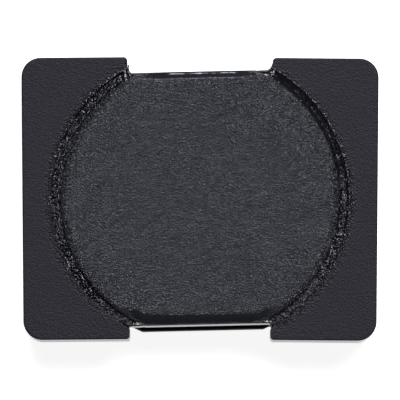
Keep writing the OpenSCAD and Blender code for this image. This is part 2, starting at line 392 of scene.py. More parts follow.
def rim_bead(angle):
    """Height of the bead along the rim's edge, in mm: only on the back flat, and uneven."""
    at = np.stack([BEAD_RADIUS * np.cos(angle), BEAD_RADIUS * np.sin(angle),
                   np.zeros_like(angle)], axis=-1)
    share = around(angle, [(66, 0), (74, 1), (100, 1), (108, 0.4), (114, 0)])
    return share * (0.08 + 0.04 * swell(at, 0.4, 41))


def drum_stations(s):
    """Section of the drum core below the shoulder, as (inset in mm, height, which outline):
    down the drafted rim, in to the post, and out and round the lower flange."""
    low = DRUM_LOW[2]
    rim_z = rim_height(s)
    under = DRUM_HIGH[2] - s.upper_t
    ledge = low + s.lower_t
    edge = FLANGE_CHAMFER
    # Rings a little further in than the chamfers, which keep the flat faces flat
    under_in = 0.3
    ledge_in = 0.4
    stations = []
    for t in np.linspace(0, 1, 6)[1:]:
        z = rim_z + (under + edge - rim_z) * t
        stations.append(((z - under) * math.tan(s.draft), z, "upper"))
    stations += [(edge, under, "upper"), (under_in, under, "upper"), (0.0, under, "post"),
                 (0.0, ledge, "post"), (ledge_in, ledge, "lower"), (edge, ledge, "lower"),
                 (0.0, ledge - edge, "lower"), (0.0, low + s.lower_t / 2, "lower"),
                 (0.0, low + edge, "lower"), (edge, low, "lower")]
    return stations


def lead_notch(angle, radius):
    """Pulls the lower flange's rim in where the two lead-outs, half a turn apart, drop past."""
    lead = math.atan2(LEAD_ACROSS, LEAD_OUT)
    off = np.abs((angle - lead + math.pi / 2) % math.pi - math.pi / 2)
    return np.where(off < NOTCH_HALF, np.minimum(radius, NOTCH_FLOOR), radius)


def rough_share(angle):
    """How lumpy the sealant is round the ring, from 0 to 1."""
    return around(angle, [(0, 1.0), (14, 0.9), (28, 0.6), (56, 0.5), (68, 0.25), (112, 0.25),
                          (124, 0.8), (150, 1.0), (195, 1.0), (225, 0.7), (240, 0.15), (252, 0.0),
                          (288, 0.0), (298, 0.3), (306, 0.75), (322, 0.7), (336, 0.8),
                          (350, 1.0)])


def rim_gloss(angle):
    """Share of the sealant's glossy lumps that stay on the drum core's rim round the ring."""
    return around(angle, [(6, 1), (20, 0.3), (52, 0.3), (62, 1)])


def sealant(points, rough):
    """Height of the sealant's lumps, in mm: swell of three sizes added up, times how rough it
    is. The same field runs over all that the sealant covers."""
    lumps = 0.8 * swell(points, 0.095, 31) + 0.6 * swell(points, 0.17, 33)
    return 0.045 * rough * (lumps + 0.3 * swell(points, 0.4, 35))


def drum_relief(points, radius, angle):
    """Height of the grain, in mm: fine, middling and broad swell all over, the middling one
    stronger towards the rim, and the sealant's lumps at the edge."""
    rim = step(radius, 5.0, 6.5)
    edge = step(radius, 6.5, 7.05)
    fine = swell(points, 0.13, 11) * 0.004
    mid = swell(points, 0.3, 12) * (0.002 + 0.004 * rim)
    broad = swell(points, 1.6, 13) * 0.003
    return fine + mid + broad + sealant(points, rough_share(angle) * (0.15 * rim + 0.85 * edge))


def drum_face(s, draft, n):
    """Top face: the disc's grid, each point's radius times the outline inside the shoulder,
    with the grain cut into it. Gives its points, and the angles and indices of its rim."""
    radius, angle, rim = concentric_disc(n)
    inset = draft + s.shoulder * shoulder_share(angle)
    outline = flatted(s.radius - inset, s.upper_flat - inset, angle)
    face = np.stack([radius * outline * np.cos(angle), radius * outline * np.sin(angle),
                     np.full(n * n, DRUM_HIGH[2])], axis=-1)
    reach = np.hypot(face[:, 0], face[:, 1])
    face[:, 2] += np.minimum(drum_relief(face, reach, angle) - GRAIN_SINK, 0)
    return face, angle[rim], rim


def shoulder_rings(s, draft, a):
    """Rings down the shoulder: the arc's insets and drops times their shares round the rim,
    plus the bead, and the grain fading in from the outer edge."""
    rings = []
    share = shoulder_share(a)
    for inset, drop in shoulder_arc(s, ARC_STEPS)[1:]:
        back = draft + inset * share
        r = flatted(s.radius - back, s.upper_flat - back, a)
        z = DRUM_HIGH[2] - drop * shoulder_fall(a)
        z += rim_bead(a) * np.interp(inset, BEAD_INSET, BEAD_SHARE)
        ring = np.stack([r * np.cos(a), r * np.sin(a), z], axis=-1)
        relief = np.minimum(drum_relief(ring, r, a) - GRAIN_SINK, GRAIN_RISE)
        ring[:, 2] += relief * step(inset, 0.0, 0.12)
        rings.append(ring)
    return rings


def lower_rings(s, a, edge_z):
    """Rings from the shoulder's edge down, one to a station. The rim's wall is stretched in
    proportion to its height, so that it starts at the edge, which rises and falls."""
    rings = []
    rim_z = rim_height(s)
    under = DRUM_HIGH[2] - s.upper_t
    for inset, z, kind in drum_stations(s):
        height = np.full(len(a), z)
        if kind == "post":
            r = np.full(len(a), s.post)
        elif kind == "lower":
            r = lead_notch(a, flatted(s.lower_radius - inset, s.lower_flat - inset, a))
        else:
            r = flatted(s.radius - inset, s.upper_flat - inset, a)
            if z > under + 2 * FLANGE_CHAMFER:
                height += (edge_z - rim_z) * (z - under) / (rim_z - under)
        rings.append(np.stack([r * np.cos(a), r * np.sin(a), height], axis=-1))
    return rings


def build_drum(s):
    """Joins the top face, the rings and a point under the middle into one closed skin, turns it
    on the base, and marks how grainy and how lumpy each point is."""
    n = 256
    draft = (rim_height(s) - DRUM_HIGH[2] + s.upper_t) * math.tan(s.draft)
    face, a, rim = drum_face(s, draft, n)
    arc = shoulder_rings(s, draft, a)
    lower = lower_rings(s, a, arc[-1][:, 2])
    pole = np.array([[0, 0, DRUM_LOW[2]]])
    points = turned(np.concatenate([face, *arc, *lower, pole]), s.turn, AXIS_Y)

    cols = len(rim)
    below = n * n + np.arange((len(arc) + len(lower)) * cols).reshape(-1, cols)
    rows = np.vstack([rim, below])
    nxt = np.roll(rows, -1, axis=1)
    quads = np.stack([rows[:-1], rows[1:], nxt[1:], nxt[:-1]], axis=-1)
    fan = np.stack([np.full(cols, len(points) - 1), nxt[-1], rows[-1]], axis=-1)
    faces = grid_faces(n, n) + quads.reshape(-1, 4).tolist() + fan.tolist()

    shoulder_start = n * n + cols
    shoulder_end = n * n + len(arc) * cols
    angle = np.arctan2(points[:, 1] - AXIS_Y, points[:, 0])
    radius = np.hypot(points[:, 0], points[:, 1] - AXIS_Y)
    grain = shoulder_grain(angle)
    grain[:shoulder_start] = 1
    grain[shoulder_end:] = 0
    lumps = rough_share(angle) * step(radius, 6.75, 7.15) * rim_gloss(angle)
    lumps[shoulder_end:] = 0
    piece = make_mesh("drum_core_sealed", points, faces,
                      ferrite("core_sealed", s.color, roughness=0.31, grain=0.85, level=0.385,
                              tint=(0.93, 0.95, 1.12)))
    mark(piece, "grain", grain)
    mark(piece, "lumps", lumps)
    return piece


# Shield halves


# Slope at which the worn top edges break to the walls, in degrees
EDGE_LEAN = 42
# Most of the width between two paths that one rounded edge may take
EDGE_MOST = 0.45
# Where the sealant that was wiped over a half's top starts and ends, as a radius in mm
WIPE_START = 7.8
WIPE_END = 8.35


def rounded_path(corners, radii, spacing):
    """Open path through corners, each rounded to its radius, with points about a spacing apart:
    straight runs, and quarter circles about a centre that lies a radius in from both sides."""
    out = []
    last = np.array(corners[0], float)
    for i, r in enumerate(radii, start=1):
        p, before, after = (np.array(corners[k], float) for k in (i, i - 1, i + 1))
        back = (before - p) / np.linalg.norm(before - p)
        ahead = (after - p) / np.linalg.norm(after - p)
        centre = p + (back + ahead) * r
        out.append(line_points(last, p + back * r, spacing))
        steps = max(8, int(r * math.pi / 2 / spacing))
        t = np.linspace(0, math.pi / 2, steps + 1)[:-1, None]
        out.append(centre - ahead * r * np.cos(t) - back * r * np.sin(t))
        last = p + ahead * r
    out.append(line_points(last, np.array(corners[-1], float), spacing))
    out.append(np.array([corners[-1]], float))
    return np.concatenate(out)


def line_points(a, b, spacing):
    """Points from a up to but not including b."""
    steps = max(2, int(np.linalg.norm(b - a) / spacing))
    return a + (b - a) * np.linspace(0, 1, steps + 1)[:-1, None]


def slab_between(inner, outer, z0, z1, edge_in, edge_out, across):
    """Closed slab between two paths that meet at both ends. Each cross-section runs over the
    top, round the outer edge, down the outer wall, back along the underside and up the inner
    wall. An edge is part of a circle up to a lean, where it breaks to the wall, and it is held
    to a share of the width where the paths close in."""
    chord = outer - inner
    width = np.linalg.norm(chord, axis=1)
    way = chord / np.maximum(width, 1e-9)[:, None]
    e_in = np.minimum(edge_in, EDGE_MOST * width)
    e_out = np.minimum(edge_out, EDGE_MOST * width)
    columns = []
    for t in np.linspace(0, 1, across):
        at = inner + way * (e_in + t * (width - e_in - e_out))[:, None]
        columns.append(np.column_stack([at, np.full(len(at), z1)]))
    lean = math.radians(EDGE_LEAN)
    turns = lean * np.array([0.25, 0.5, 0.75, 1.0])
    for a in turns:
        at = outer - way * (e_out * (1 - math.sin(a) / math.sin(lean)))[:, None]
        columns.append(np.column_stack([at, z1 - e_out * (1 - math.cos(a)) / math.sin(lean)]))
    drop = (1 - math.cos(lean)) / math.sin(lean)
    for t in (0.25, 0.5, 0.75, 1.0):
        columns.append(np.column_stack([outer, (z1 - e_out * drop) * (1 - t) + z0 * t]))
    for t in (0.0, 0.3, 0.6):
        columns.append(np.column_stack([inner, z0 * (1 - t) + (z1 - e_in * drop) * t]))
    for a in turns[::-1]:
        at = inner + way * (e_in * (1 - math.sin(a) / math.sin(lean)))[:, None]
        columns.append(np.column_stack([at, z1 - e_in * (1 - math.cos(a)) / math.sin(lean)]))
    grid = np.stack(columns, axis=1)
    return grid.reshape(-1, 3), grid_faces(len(inner), len(columns), wrap_cols=True)


def weld(piece, gap=0.0005):
    """Merges points nearer than a gap in mm, where a piece's paths meet, and turns its faces
    outwards."""
    mesh = piece.data
    work = bmesh.new()
    work.from_mesh(mesh)
    bmesh.ops.remove_doubles(work, verts=work.verts, dist=gap * MM)
    bmesh.ops.recalc_face_normals(work, faces=work.faces)
    work.to_mesh(mesh)
    work.free()
    mesh.update()


def half_relief(points):
    """Lowers a half's top by fine and broad swell, and by the sealant's lumps beside the bore,
    where it was wiped; the walls keep their places."""
    r = np.hypot(points[:, 0], points[:, 1])
    angle = np.arctan2(points[:, 1], points[:, 0])
    near = (1 - step(r, WIPE_START, WIPE_END)) * rough_share(angle)
    top = step(points[:, 2], HALF_HIGH[2] - 0.05, HALF_HIGH[2] - 0.001)
    fine = swell(points, 0.18, 21) * 0.002
    broad = swell(points, 2.2, 23) * 0.004
    out = points.copy()
    out[:, 2] += np.minimum(fine + broad + sealant(points, 0.6 * near) - 0.006, 0) * top
    return out


def bore_lip(angle):
    """Rounding of the bore's top edge round the ring, as a share of the other edges'."""
    return around(angle, [(0, 0.3), (14, 0.3), (22, 1), (56, 1), (66, 0.3)])


def half_paths(s, spacing):
    """Bore arc and outer path of the right half, both from the lower to the upper tip. Each
    outer point is paired with a bore point whose angle is three parts the way that the outer
    point faces and one part an even spread."""
    tip_angle = math.acos(s.window / s.bore)
    tip_y = s.bore * math.sin(tip_angle)
    x, y = s.length / 2, s.width / 2
    corners = [(s.window, -tip_y), (s.window, -y), (x, -y), (x, y), (s.window, y),
               (s.window, tip_y)]
    outer = rounded_path(corners, [s.tip, s.corner, s.corner, s.tip], spacing)
    along = np.linspace(-1, 1, len(outer)) * tip_angle
    facing = np.clip(np.arctan2(outer[:, 1], outer[:, 0]), -tip_angle, tip_angle)
    angle = 0.75 * facing + 0.25 * along
    inner = s.bore * np.stack([np.cos(angle), np.sin(angle)], axis=-1)
    return inner, outer


def build_half(s, side):
    """Slab between the bore and the outer path, mirrored for the left half, turned by the splay
    and marked with its grain and lumps."""
    inner, outer = half_paths(s, 0.05)
    mirror = np.array([side, 1, 1])
    lip = s.edge * bore_lip(np.arctan2(inner[:, 1], side * inner[:, 0]))
    points, faces = slab_between(inner, outer, HALF_LOW[2], HALF_HIGH[2], lip, s.edge, 60)
    points = half_relief(points * mirror) * mirror
    points = turned(points, -s.splay, AXIS_Y) * mirror
    name = "shield_right_sealed"
    if side < 0:
        name = "shield_left_sealed"
        points[:, 1] += LEFT_SET_BACK
    piece = make_mesh(name, points, faces,
                      ferrite("shield_sealed", s.color, roughness=0.42, grain=0.16, level=0.095,
                              tint=(0.94, 0.9, 1.1)))
    weld(piece)
    at = mesh_points(piece)
    y = at[:, 1] - AXIS_Y
    z = at[:, 2] - HALF_HIGH[2]
    near = 1 - step(np.hypot(at[:, 0], y), WIPE_START, WIPE_END - 0.05)
    mark(piece, "grain", step(z, -0.036, -0.02))
    mark(piece, "lumps", 0.5 * rough_share(np.arctan2(y, at[:, 0])) * near * step(z, -0.12, -0.08))
    return piece


# Epoxy


# Size of the fillet in each window corner, in mm: (back or front, size) on each side
CORNERS = {1: ((1, 0.32), (-1, 0.2)), -1: ((1, 0.24), (-1, 0.03))}
# How far in from the drum core's radius its drafted rim ends, and the gap starts, in mm
RIM_DRAFT = 0.06
RIM_LAP = 0.08
# How low the epoxy's thin edges lie, how far its body stands up from there, and how much lower
# it is where the drum core was left bare, in mm
THIN_EDGE = 0.03
BODY_RISE = 0.035
BARE_DROP = 0.08
# What stands higher than this over the halves' top, in mm, keeps only a share of its height
PROUD_LIMIT = 0.015
PROUD_SHARE = 0.3
# How far short of the window each end of the bead stops, as an angle
END_GAP = 0.004


def fill_depth(angle):
    """Depth of the epoxy below the rims of its gap, in mm, round the ring."""
    return around(angle, [(0, 0.4), (8, 0.45), (16, 0.6), (54, 0.6), (61, 0.25), (118, 0.2),
                          (128, 0.4), (145, 0.35), (160, 0.26), (190, 0.22), (215, 0.2),
                          (230, 0.1), (240, 0.03), (300, 0.03), (320, 0.0), (336, 0.25),
                          (350, 0.35)])


def flush_share(angle):
    """How full the gap is round the ring: 0 where the epoxy hangs between the drum core's
    shoulder and the bore, 1 where it lies level with the halves."""
    return around(angle, [(0, 0.12), (10, 0.05), (20, 0.0), (60, 0.0), (118, 0.0), (145, 0.1),
                          (160, 0.4), (190, 0.55), (218, 0.7), (232, 0.9), (245, 0.85),
                          (295, 0.85), (318, 1.0), (335, 0.5), (350, 0.2)])


def hollow_power(angle):
    """How flat the bottom of the hollow is round the ring: 6 nearly flat, 1 a plain V."""
    return around(angle, [(0, 3), (14, 2), (20, 1.2), (56, 1.2), (66, 4), (118, 4), (140, 6),
                          (330, 6)])


def crease_depth(angle):
    """Depth of the crease over the drum core's shoulder round the ring, in mm."""
    return around(angle, [(0, 0.1), (195, 0.02), (222, 0.06), (238, 0.3), (300, 0.3), (330, 0.3)])


def bank_share(angle):
    """How much the level fill banks up to the shoulder round the ring: only at the front left."""
    return around(angle, [(0, 0), (140, 0), (190, 1), (222, 0.9), (238, 0)])


def film_share(angle):
    """Where a film was left on the drum core's top round the ring: 1 covered, 0 bare."""
    return around(angle, [(8, 1), (18, 0), (58, 0), (120, 0.3), (135, 1), (225, 1), (236, 0),
                          (300, 0), (312, 1)])


def shoulder_height(drum, radius, angle):
    """Height of the drum core's shoulder at a radius, read off its arc."""
    arc = shoulder_arc(drum, ARC_STEPS)
    inset = np.clip((drum.radius - RIM_DRAFT - radius) / shoulder_share(angle), 0, drum.shoulder)
    return DRUM_HIGH[2] - np.interp(inset, arc[::-1, 0], arc[::-1, 1]) * shoulder_fall(angle)


def level_fill(half, shoulder_z, place, radius, wander, angle):
    """Height of the epoxy where it fills the gap: just under the halves' top, less a crease
    over the shoulder, plus an uneven bank up to the shoulder, less a groove along the bore
    whose section is a bell curve. The wander moves the crease and the groove to and fro."""
    level = HALF_HIGH[2] - 0.03 - crease_depth(angle) * (1 - step(radius + wander, 7.05, 7.28))
    bank = shoulder_z - HALF_HIGH[2] + 0.08 + 0.14 * swell(place, 0.3, 43)
    level += bank_share(angle) * bank * (1 - step(radius, 7.15, 7.6))
    return level - 0.1 * np.exp(-((radius + wander - half.bore + 0.07) / 0.04) ** 2)


def epoxy_top(s, drum, half, radius, angle):
    """Height of the epoxy: from the shoulder straight across to the halves' top, less the
    fill's depth times 1 minus a power of the distance from the gap's middle, then raised to the
    level fill as far as the gap is full, and with lumps all over."""
    rough = rough_share(angle)
    place = np.stack([radius * np.cos(angle), radius * np.sin(angle), np.zeros_like(radius)],
                     axis=-1)
    wander = (0.16 * swell(place, 0.35, 37) + 0.08 * swell(place, 0.14, 38)) * rough
    shoulder_z = shoulder_height(drum, radius, angle)
    gap_start = drum.radius - RIM_LAP
    u = np.clip((radius - gap_start) / (half.bore - gap_start), 0, 1)
    bed = shoulder_z * (1 - u) + HALF_HIGH[2] * u
    bed -= fill_depth(angle) * (1 - np.abs(2 * u - 1) ** hollow_power(angle))
    level = level_fill(half, shoulder_z, place, radius, wander, angle)
    patches = 1 - 1.3 * rough * swell(place, 0.4, 39)
    flush = np.clip(flush_share(angle) * patches, 0, 1)
    bed += flush * step(radius + wander, 7.0, 7.1) * (level - bed)

    body = step(radius, s.inner, drum.radius - 0.05)
    body *= 1 - step(radius, half.bore - 0.05, half.bore + (s.outer - half.bore) * rough)
    gap = 1 - (2 * u - 1) ** 2
    film = np.where(radius > gap_start, 1, film_share(angle))
    place[:, 2] = bed
    lumps = sealant(place, 0.3 + rough * (0.25 + 0.5 * body + 1.3 * gap))
    top = bed - THIN_EDGE + BODY_RISE * body - BARE_DROP * (1 - film) + lumps
    proud = np.maximum(0, top - HALF_HIGH[2] - PROUD_LIMIT)
    return top - (1 - PROUD_SHARE) * proud


def build_epoxy(s, drum, half, side):
    """Section carried round the gap: the lumpy top, then down the bore, across the foot and up
    the drum core's rim. Marks how lumpy and how glossy each point is."""
    reach = math.acos(half.window / half.bore) - END_GAP
    steps = 560
    across = 52
    angle = np.linspace(-reach, reach, steps)
    radius = np.linspace(s.inner, s.outer, across)
    a, r = np.meshgrid(angle, radius, indexing="ij")
    world = a if side > 0 else math.pi - a
    z = epoxy_top(s, drum, half, r.ravel(), world.ravel()).reshape(a.shape)
    section = [(half.bore, HALF_HIGH[2] - 0.2), (half.bore, BEAD_FOOT),
               (drum.radius, BEAD_FOOT), (drum.radius, DRUM_HIGH[2] - 0.7)]
    for section_r, section_z in section:
        a = np.column_stack([a, angle])
        r = np.column_stack([r, np.full(steps, section_r)])
        z = np.column_stack([z, np.full(steps, section_z)])
    points = np.stack([side * r * np.cos(a), r * np.sin(a) + AXIS_Y, z], axis=-1).reshape(-1, 3)
    cols = across + len(section)
    faces = grid_faces(steps, cols, wrap_cols=True) + end_caps(steps, cols)
    name = "epoxy_right_bead" if side > 0 else "epoxy_left_bead"
    piece = make_mesh(name, points, faces, epoxy_material(s), sharp=60)
    weld(piece)
    at = mesh_points(piece)
    angle = np.arctan2(at[:, 1] - AXIS_Y, at[:, 0])
    full = flush_share(angle)
    mark(piece, "lumps", np.maximum(rough_share(angle), step(full, 0.5, 0.9)))
    mark(piece, "gloss", rough_share(angle) * (1 - 0.8 * step(full, 0.65, 0.95)))
    return piece


def corner_outline(half, flat, fillet):
    """Plan of the epoxy in a window corner, as an inner and an outer path in mm: out along the
    drum core's flat, then a quarter circle, hollow side out, up to the side of the window."""
    inner = np.array([(2.9, flat - 0.3), (3.2, flat - 0.45), (3.6, flat - 0.5),
                      (half.window + 0.25, flat - 0.35), (half.window + 0.3, flat + 0.1)])
    t = np.radians(np.linspace(270, 360, 12))
    start = np.array([(2.9, flat - 0.02), (3.1, flat)])
    arc = np.column_stack([half.window - fillet + fillet * np.cos(t),
                           flat + fillet + fillet * np.sin(t)])
    end = np.array([(half.window + 0.12, flat + fillet + 0.06)])
    return inner, np.vstack([start, arc, end])


def resampled(path, count):
    """The path again, with count points evenly spaced along it."""
    run = np.concatenate([[0], np.cumsum(np.linalg.norm(np.diff(path, axis=0), axis=1))])
    at = np.linspace(0, run[-1], count)
    return np.column_stack([np.interp(at, run, path[:, k]) for k in range(2)])


def build_corner(s, drum, half, sx, sy, fillet):
    """Epoxy in one window corner: a top between the two paths that sags by a half sine wave and
    rounds off at the outer one, with lumps that die out towards it, and walls below."""
    count = 48
    across = 24
    paths = corner_outline(half, drum.upper_flat, fillet)
    inner, foot = (resampled(path, count) for path in paths)
    chord = inner - foot
    outer = foot + chord * (0.06 / np.linalg.norm(chord, axis=1))[:, None]
    mirror = np.array([sx, sy, 1])
    rim_z = rim_height(drum)
    edge_z = rim_z + (HALF_HIGH[2] - rim_z) * np.linspace(0, 1, count) - 0.02
    columns = []
    for t in np.linspace(0, 1, across):
        at = inner + (outer - inner) * t
        z = edge_z - 0.05 * np.sin(math.pi * t) - 0.05 * step(np.array(t), 0.85, 1.0)
        points = np.column_stack([at, z])
        points[:, 2] += sealant(points * mirror, 0.4 * (1 - t))
        columns.append(points)
    for t in (0.2, 0.6, 1.0):
        z = (rim_z - 0.1) * (1 - t) + BEAD_FOOT * t
        columns.append(np.column_stack([outer + (foot - outer) * t, np.full(count, z)]))
    columns.append(np.column_stack([inner, np.full(count, BEAD_FOOT)]))
    cols = len(columns)
    faces = grid_faces(count, cols, wrap_cols=True) + end_caps(count, cols)
    points = np.stack(columns, axis=1).reshape(-1, 3) * mirror
    points[:, 1] += points[:, 0] * math.tan(drum.turn) + AXIS_Y
    name = "epoxy_corner_" + ("back" if sy > 0 else "front") + ("_right" if sx > 0 else "_left")
    piece = make_mesh(name, points, faces, epoxy_skin(s), sharp=50)
    weld(piece)
    return piece


# Coil


# Sides of the wire's section, and points to a turn of the helix
WIRE_SIDES = 14
TURN_STEPS = 120
# Room between the wire and a flange, in mm
WIRE_ROOM = 0.01
# How far short of the last full turn the helix ends, in turns
TURN_SHORT = 0.12


def tube(path, radius, sides, start=0):
    """Round tube along a path, its faces numbered from start: rings square to the path, where
    each ring's up is the last one's less its part along the path."""
    ahead = np.gradient(path, axis=0)
    ahead /= np.linalg.norm(ahead, axis=1)[:, None]
    up = np.array([0.0, 0.0, 1.0])
    if abs(ahead[0] @ up) > 0.9:
        up = np.array([0.0, 1.0, 0.0])
    rings = []
    turn = np.linspace(0, 2 * math.pi, sides, endpoint=False)
    wide = radius * np.cos(turn)
    high = radius * np.sin(turn)
    for point, way in zip(path, ahead):
        up = up - (up @ way) * way
        up /= np.linalg.norm(up)
        rings.append(point + np.outer(wide, np.cross(way, up)) + np.outer(high, up))
    points = np.concatenate(rings)
    faces = grid_faces(len(path), sides, start, wrap_cols=True)
    return points, faces + end_caps(len(path), sides, start)


def bend_points(centre, radius, u, v, a0, a1, steps=14):
    """Points of an arc: the centre plus the radius times cosine along u and sine along v."""
    t = np.radians(np.linspace(a0, a1, steps))[:, None]
    return np.array(centre) + radius * (np.cos(t) * np.array(u) + np.sin(t) * np.array(v))


def lead_foot(s, x, y):
    """The drop through the base, a quarter bend and the run out along the pad."""
    z = WIRE_LOW[2] + s.wire
    end = WIRE_HIGH[0]
    centre = (x + s.bend, y, z + s.bend)
    bend = bend_points(centre, s.bend, (1, 0, 0), (0, 0, 1), 180, 270)
    return np.vstack([bend, [[end - 0.4, y, z], [end, y, z]]])


def coil_paths(s, drum):
    """Path of the finish lead with the outer helix, which climbs evenly with its angle, and
    path of the start lead, which leaves the post in a channel under the coil."""
    low = DRUM_LOW[2] + drum.lower_t
    high = DRUM_HIGH[2] - drum.upper_t
    x = s.radius
    y = drum.post + s.wire
    z0 = low + s.wire + WIRE_ROOM
    foot = lead_foot(s, x, y)
    bend = bend_points((x, y - s.bend, z0 - s.bend), s.bend, (0, 1, 0), (0, 0, 1), 0, 90)
    t = np.linspace(0, 1, s.turns * TURN_STEPS)
    angle = -t * 2 * math.pi * (s.turns - TURN_SHORT)
    rise = z0 + (high - low - 2 * s.wire - 2 * WIRE_ROOM) * t
    helix = np.stack([x * np.cos(angle), x * np.sin(angle), rise], axis=-1)
    outer = np.vstack([foot[::-1], bend, helix]) * [-1, -1, 1]
    channel = low - s.wire - 2 * WIRE_ROOM
    drop = (x - s.bend, y, channel - s.bend)
    start = np.vstack([[(out, y, channel) for out in (0.2, 1.5, 3.0)],
                       bend_points(drop, s.bend, (1, 0, 0), (0, 0, 1), 90, 0), foot])
    return outer, start


def build_coil(s, drum):
    """Outer layer and leads as round wire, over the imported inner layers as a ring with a
    rectangular section."""
    outer, start = coil_paths(s, drum)
    wire, faces = tube(outer, s.wire, WIRE_SIDES)
    lead, lead_faces = tube(start, s.wire, WIRE_SIDES, len(wire))
    low = DRUM_LOW[2] + drum.lower_t + 2 * WIRE_ROOM
    high = DRUM_HIGH[2] - drum.upper_t - 2 * WIRE_ROOM
    a = np.linspace(0, 2 * math.pi, TURN_STEPS, endpoint=False)[:, None]
    r = np.array([drum.post, drum.post, s.radius, s.radius])
    z = np.broadcast_to([low, high, high, low], (TURN_STEPS, 4))
    pack = np.stack([r * np.cos(a), r * np.sin(a), z], axis=-1).reshape(-1, 3)
    faces += lead_faces + grid_faces(TURN_STEPS, len(r), len(wire) + len(lead),
                                     wrap_cols=True, wrap_rows=True)
    points = turned(np.vstack([wire, lead, pack]), drum.turn, AXIS_Y)
    piece = make_mesh("winding_wire", points, faces, enamel(s), sharp=50)
    weld(piece, gap=0.00001)
    return piece


# Materials


# Span that most of a noise texture's values lie in
NOISE_SPAN = (0.3, 0.7)
# Roughness of the ferrite's walls and of the sealant's lumps on it
WALL_ROUGHNESS = 0.18
LUMP_ROUGHNESS = 0.14
# Roughness of the epoxy where it hangs smooth and where it is lumpy
EPOXY_DULL = 0.55
EPOXY_GLOSSY = 0.07


def new_node(tree, kind, **values):
    """New node with its inputs set by name, with _ for a space."""
    node = tree.nodes.new("ShaderNode" + kind)
    for key, value in values.items():
        node.inputs[key.replace("_", " ")].default_value = value
    return node


def shader(name, color, roughness, metallic=0.0, **sockets):
    """New material with a Principled shader; sockets set by name with _ for a space."""
    material = bpy.data.materials.new(name)
    material.use_nodes = True
    tree = material.node_tree
    surface = tree.nodes["Principled BSDF"]
    surface.inputs["Base Color"].default_value = (*color, 1)
    surface.inputs["Roughness"].default_value = roughness
    surface.inputs["Metallic"].default_value = metallic
    for key, value in sockets.items():
        surface.inputs[key.replace("_", " ")].default_value = value
    return material, tree, surface


def noise(tree, scale, detail=0.0, rough=0.5):
    """Noise on Object coordinates; scale is in features to the millimetre."""
    place = new_node(tree, "TexCoord")
    texture = new_node(tree, "TexNoise", Scale=scale / MM, Detail=detail, Roughness=rough)
    tree.links.new(place.outputs["Object"], texture.inputs["Vector"])
    return texture


def add_bump(tree, surface, layers):
    """Chains bump nodes; each layer is (texture, distance in mm, strength or the name of the
    attribute that gives it)."""
    last = None
    for texture, distance, strength in layers:
        bump = new_node(tree, "Bump", Distance=distance * MM)
        if isinstance(strength, str):
            tree.links.new(attribute(tree, strength), bump.inputs["Strength"])
        else:
            bump.inputs["Strength"].default_value = strength
        tree.links.new(texture.outputs[0], bump.inputs["Height"])
        if last:
            tree.links.new(last.outputs["Normal"], bump.inputs["Normal"])
        last = bump
    tree.links.new(last.outputs["Normal"], surface.inputs["Normal"])


def attribute(tree, name):
    """Output that gives a point's stored value."""
    node = new_node(tree, "Attribute")
    node.attribute_name = name
    return node.outputs["Fac"]


def blend(tree, share, low, high, span=(0, 1)):
    """Value that goes from low to high, each a number or an output, over a share's span."""
    node = new_node(tree, "MapRange", From_Min=span[0], From_Max=span[1])
    tree.links.new(share, node.inputs["Value"])
    for end, value in (("To Min", low), ("To Max", high)):
        if isinstance(value, (int, float)):
            node.inputs[end].default_value = value
        else:
            tree.links.new(value, node.inputs[end])
    return node.outputs["Result"]


def vary(tree, texture, socket, low, high):
    """Lets a texture move a socket's value or colour between low and high."""
    share = texture.outputs[0]
    if isinstance(low, (int, float)):
        tree.links.new(blend(tree, share, low, high, NOISE_SPAN), socket)
        return
    mix = new_node(tree, "Mix")
    mix.data_type = "RGBA"
    mix.inputs["A"].default_value = (*low, 1)
    mix.inputs["B"].default_value = (*high, 1)
    tree.links.new(blend(tree, share, 0.0, 1.0, NOISE_SPAN), mix.inputs["Factor"])
    tree.links.new(mix.outputs["Result"], socket)


def ferrite(name, color, roughness, grain, level, tint):
    """Black sealed ferrite: a fine grain on top, smooth and glossier on the walls, and glossy
    lumps where the sealant ran."""
    if name in bpy.data.materials:
        return bpy.data.materials[name]
    material, tree, surface = shader(name, color, roughness, Specular_IOR_Level=level,
                                     Specular_Tint=(*tint, 1))
    speck = noise(tree, 12, 1.0)
    vary(tree, speck, surface.inputs["Base Color"], [c * 0.75 for c in color],
         [c * 1.25 for c in color])
    plain = blend(tree, attribute(tree, "grain"), WALL_ROUGHNESS, roughness)
    sealed = blend(tree, attribute(tree, "lumps"), plain, LUMP_ROUGHNESS)
    tree.links.new(sealed, surface.inputs["Roughness"])
    add_bump(tree, surface, [(noise(tree, 11), 0.15, "lumps"), (speck, 0.10 * grain, "grain")])
    return material


def epoxy_material(s):
    """Black cured epoxy: dull and dark where it hangs smooth, glossy where it is lumpy."""
    if "cured_epoxy" in bpy.data.materials:
        return bpy.data.materials["cured_epoxy"]
    material, tree, surface = shader("cured_epoxy", s.color, 0.2, Specular_IOR_Level=0.8, IOR=1.5,
                                     Specular_Tint=(0.94, 0.93, 1.1, 1))
    roughness = blend(tree, attribute(tree, "gloss"), EPOXY_DULL, EPOXY_GLOSSY)
    tree.links.new(roughness, surface.inputs["Roughness"])
    add_bump(tree, surface, [(noise(tree, 13), 0.10, "lumps"), (noise(tree, 7, 1.0), 0.05, 1.0)])
    return material


def epoxy_skin(s):
    """Smooth, glossy epoxy where it stands free in the window corners."""
    if "epoxy_skin" in bpy.data.materials:
        return bpy.data.materials["epoxy_skin"]
    material, tree, surface = shader("epoxy_skin", s.color, 0.14, Specular_IOR_Level=0.3)
    ripple = noise(tree, 5, 1.0)
    add_bump(tree, surface, [(ripple, 0.02, 0.5)])
    return material


